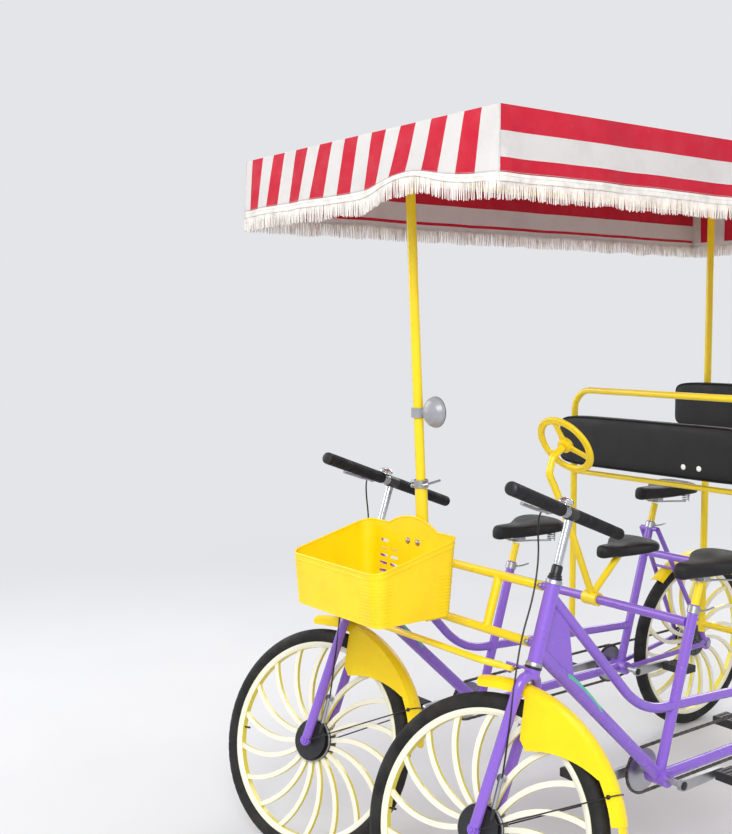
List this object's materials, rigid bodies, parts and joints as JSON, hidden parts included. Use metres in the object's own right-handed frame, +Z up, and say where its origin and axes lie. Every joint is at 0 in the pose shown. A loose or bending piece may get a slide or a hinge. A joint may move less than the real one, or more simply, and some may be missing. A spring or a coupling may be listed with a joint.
{
  "type": "pedal quadricycle",
  "caption": "Side-by-side pedal quadricycle with a striped fringed canopy, swirled-spoke wheels, twin steered front wheels, a basket and a child's seat with a toy steering wheel.",
  "frame": {"origin": "centre of the bounding box at floor level, with the front wheels parked turned right", "axes": "+Z up, front towards -Y, the vehicle's left towards +X"},
  "size_m": [1.3894, 2.3305, 2.036],
  "materials": {
    "frame_paint": "gloss purple paint",
    "yellow_paint": "gloss yellow paint",
    "wheel_cast": "cream spokes with a yellow rim, gloss",
    "fender_plastic": "gloss",
    "basket_plastic": "gloss",
    "tyre": "matte",
    "foam": "matte foam",
    "steel": "satin",
    "chrome": "polished",
    "chain_steel": "oiled",
    "crank_alloy": "satin",
    "vinyl": "black vinyl, satin",
    "saddle_vinyl": "black vinyl, satin",
    "canopy_cloth": "red and white stripes",
    "toy_plastic": "satin yellow",
    "mirror_shell": "grey shell"
  },
  "bodies": {
    "frame": {"frame_left": "frame_paint", "frame_right": "frame_paint", "rear_axles": "steel", "seat_cross_tubes": "frame_paint", "ladder": "yellow_paint", "pole_socket": "yellow_paint", "front_pole": "yellow_paint", "basket": "basket_plastic", "fenders_rear": "fender_plastic", "chains": "chain_steel", "canopy_frame": "yellow_paint", "canopy": "canopy_cloth", "hand_rail": "yellow_paint", "backrest_front": "vinyl", "backrest_rear": "vinyl", "saddles": "saddle_vinyl", "seat_posts": "yellow_paint", "child_seat_frame": "yellow_paint", "mirror": "mirror_shell"},
    "steering_left": {"fork_left": "frame_paint", "handlebar_left": "chrome", "bar_foam_left": "foam", "brake_left": "steel", "fender_front_left": "fender_plastic"},
    "front_wheel_left": {"wheel_front_left": "wheel_cast", "tyre_front_left": "tyre"},
    "rear_wheel_left": {"wheel_rear_left": "wheel_cast", "tyre_rear_left": "tyre"},
    "rear_crank_left": {"crank_rear_left": "crank_alloy"},
    "front_crank_left": {"crank_front_left": "crank_alloy"},
    "steering_right": {"fork_right": "frame_paint", "handlebar_right": "chrome", "bar_foam_right": "foam", "brake_right": "steel", "fender_front_right": "fender_plastic"},
    "front_wheel_right": {"wheel_front_right": "wheel_cast", "tyre_front_right": "tyre"},
    "rear_wheel_right": {"wheel_rear_right": "wheel_cast", "tyre_rear_right": "tyre"},
    "rear_crank_right": {"crank_rear_right": "crank_alloy"},
    "front_crank_right": {"crank_front_right": "crank_alloy"},
    "tie_rod": {"tie_rod": "yellow_paint"},
    "toy_wheel": {"toy_wheel": "toy_plastic"}
  },
  "joints": [
    {"name": "steer_left", "type": "hinge", "parent": "frame", "child": "steering_left", "pos_m": [0.38875, -0.80485, 0.70625], "axis": [0, 0.3173, 0.9483], "range_deg": [0, 144]},
    {"name": "front_wheel_left_spin", "type": "hinge", "parent": "steering_left", "child": "front_wheel_left", "pos_m": [0.36022, -0.94533, 0.31564], "axis": [0.309, -0.9019, 0.3018], "continuous": true},
    {"name": "rear_wheel_left_spin", "type": "hinge", "parent": "frame", "child": "rear_wheel_left", "pos_m": [0.38875, 0.81325, 0.33], "axis": [1, 0, 0], "continuous": true},
    {"name": "rear_crank_left_spin", "type": "hinge", "parent": "frame", "child": "rear_crank_left", "pos_m": [0.38875, 0.39325, 0.3], "axis": [1, 0, 0], "continuous": true},
    {"name": "front_crank_left_spin", "type": "hinge", "parent": "frame", "child": "front_crank_left", "pos_m": [0.38875, -0.30675, 0.3], "axis": [1, 0, 0], "continuous": true},
    {"name": "steer_right", "type": "hinge", "parent": "frame", "child": "steering_right", "pos_m": [-0.35125, -0.80485, 0.70625], "axis": [0, 0.3173, 0.9483], "range_deg": [0, 144]},
    {"name": "front_wheel_right_spin", "type": "hinge", "parent": "steering_right", "child": "front_wheel_right", "pos_m": [-0.37978, -0.94533, 0.31564], "axis": [0.309, -0.9019, 0.3018], "continuous": true},
    {"name": "rear_wheel_right_spin", "type": "hinge", "parent": "frame", "child": "rear_wheel_right", "pos_m": [-0.35125, 0.81325, 0.33], "axis": [1, 0, 0], "continuous": true},
    {"name": "rear_crank_right_spin", "type": "hinge", "parent": "frame", "child": "rear_crank_right", "pos_m": [-0.35125, 0.39325, 0.3], "axis": [1, 0, 0], "continuous": true},
    {"name": "front_crank_right_spin", "type": "hinge", "parent": "frame", "child": "front_crank_right", "pos_m": [-0.35125, -0.30675, 0.3], "axis": [1, 0, 0], "continuous": true},
    {"name": "tie_rod_pivot", "type": "hinge", "parent": "steering_left", "child": "tie_rod", "pos_m": [0.32693, -0.83025, 0.69366], "axis": [0, 0.3173, 0.9483], "range_deg": [-144, 0]},
    {"name": "toy_wheel_spin", "type": "hinge", "parent": "frame", "child": "toy_wheel", "pos_m": [0.01875, -0.30675, 1.2], "axis": [0, 0.848, 0.5299], "continuous": true}
  ],
  "couplings": [
    {"joint": "steer_right", "follows": "steer_left", "ratio": 1},
    {"joint": "tie_rod_pivot", "follows": "steer_left", "ratio": -1},
    {"joint": "front_crank_left_spin", "follows": "rear_crank_left_spin", "ratio": 1},
    {"joint": "front_crank_right_spin", "follows": "rear_crank_right_spin", "ratio": 1}
  ]
}
